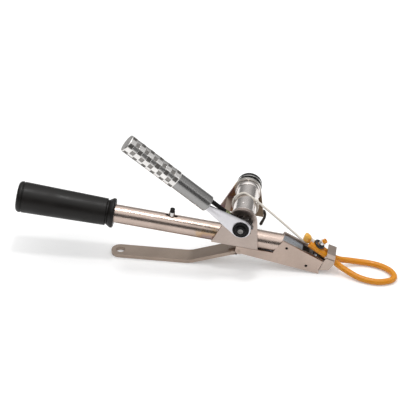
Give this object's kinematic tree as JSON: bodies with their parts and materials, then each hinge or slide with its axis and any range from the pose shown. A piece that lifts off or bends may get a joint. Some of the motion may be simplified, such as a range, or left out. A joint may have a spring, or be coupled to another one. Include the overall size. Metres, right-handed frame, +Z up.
{
  "type": "castration bander",
  "caption": "Hand bander with rubber-gripped tube, ratchet lever and cord spool, squeeze lever with cam and crimp die, and a looped latex band held at the nose.",
  "frame": {"origin": "centre of the squeeze lever's hang hole, in the sole plane on which the lever stands", "axes": "+X forward to the nose, along the floor; +Y away from the ratchet lever's side; +Z up"},
  "size_m": [0.5221, 0.1269, 0.2068],
  "materials": {
    "rubber_grip": "matt",
    "satin_steel": "satin, warm",
    "tube_steel": "satin, warm",
    "inner_steel": "satin, bluish",
    "dark_steel": "dark oxide",
    "black_metal": "satin black",
    "polished_steel": "polished",
    "arm_steel": "satin",
    "knurl_metal": "dark grey, knurled",
    "latex": "satin amber",
    "black_rubber": "satin",
    "cord_white": "woven"
  },
  "bodies": {
    "frame": {"hand_grip": "rubber_grip", "bracket_near_plate": "satin_steel", "bracket_far_plate": "satin_steel", "bracket_cross_bar": "satin_steel", "head_channel": "satin_steel", "front_block": "satin_steel", "main_tube": "tube_steel", "head_plug": "inner_steel", "head_pin": "dark_steel", "block_pin_near": "dark_steel", "block_pin_far": "dark_steel", "lever_pivot_pin": "dark_steel", "hold_pawl_screw": "dark_steel", "near_bush": "polished_steel", "far_bush": "polished_steel", "crimp_clip": "polished_steel", "latex_band": "latex", "band_knob": "latex", "band_tail": "latex", "band_ring": "black_rubber", "draw_cord": "cord_white"},
    "spool": {"spool_shaft": "polished_steel", "spool_drum": "polished_steel", "ratchet_wheel": "dark_steel", "wheel_spacer": "polished_steel", "outer_spacer": "polished_steel", "hold_ratchet": "black_metal", "spool_washer": "polished_steel", "spool_cap": "black_metal", "pivot_washer": "black_metal", "pivot_bolt": "black_metal"},
    "ratchet_lever": {"ratchet_arm": "arm_steel", "handle_sleeve": "polished_steel", "knurled_grip": "knurl_metal"},
    "plunger": {"pawl_plunger": "dark_steel"},
    "indicator": {"indicator_pin": "polished_steel", "indicator_cap": "black_metal", "indicator_slider": "dark_steel"},
    "squeeze": {"squeeze_lever": "satin_steel", "lever_cam": "inner_steel", "cam_roller": "inner_steel", "roller_pin": "inner_steel"},
    "ram": {"push_bar": "inner_steel", "crimp_die": "dark_steel", "cutter_blade": "polished_steel"},
    "pawl": {"hold_pawl": "dark_steel", "pawl_hook": "dark_steel"}
  },
  "joints": [
    {"name": "squeeze", "type": "hinge", "parent": "frame", "child": "squeeze", "pos_m": [0.16361, 0, 0.02639], "axis": [0, 1, 0], "range_deg": [0, 12], "stiffness_Nm_per_rad": 4, "springref_deg": -42.97},
    {"name": "ram_push", "type": "slide", "parent": "frame", "child": "ram", "axis": [0.9783, 0, -0.2072], "range_m": [0, 0.005]},
    {"name": "ratchet_swing", "type": "hinge", "parent": "frame", "child": "ratchet_lever", "pos_m": [0.16739, 0, 0.07729], "axis": [0, -1, 0], "range_deg": [-60, 30]},
    {"name": "spool_turn", "type": "hinge", "parent": "frame", "child": "spool", "pos_m": [0.16739, 0, 0.07729], "axis": [0, -1, 0], "range_deg": [-60, 30]},
    {"name": "plunger_lift", "type": "slide", "parent": "ratchet_lever", "child": "plunger", "axis": [-0.788, 0, 0.6157], "range_m": [0, 0.004], "stiffness_N_per_m": 300, "springref_m": -0.003},
    {"name": "indicator_slide", "type": "slide", "parent": "frame", "child": "indicator", "axis": [0.9936, 0, -0.1132], "range_m": [-0.006, 0.006]},
    {"name": "hold_pawl_turn", "type": "hinge", "parent": "frame", "child": "pawl", "pos_m": [0.14265, 0, 0.05444], "axis": [0, 1, 0], "range_deg": [0, 15], "stiffness_Nm_per_rad": 0.03, "springref_deg": -34.38}
  ],
  "couplings": [
    {"joint": "spool_turn", "follows": "ratchet_swing", "ratio": 1},
    {"joint": "ram_push", "follows": "squeeze", "m_per_rad": 0.023871}
  ]
}
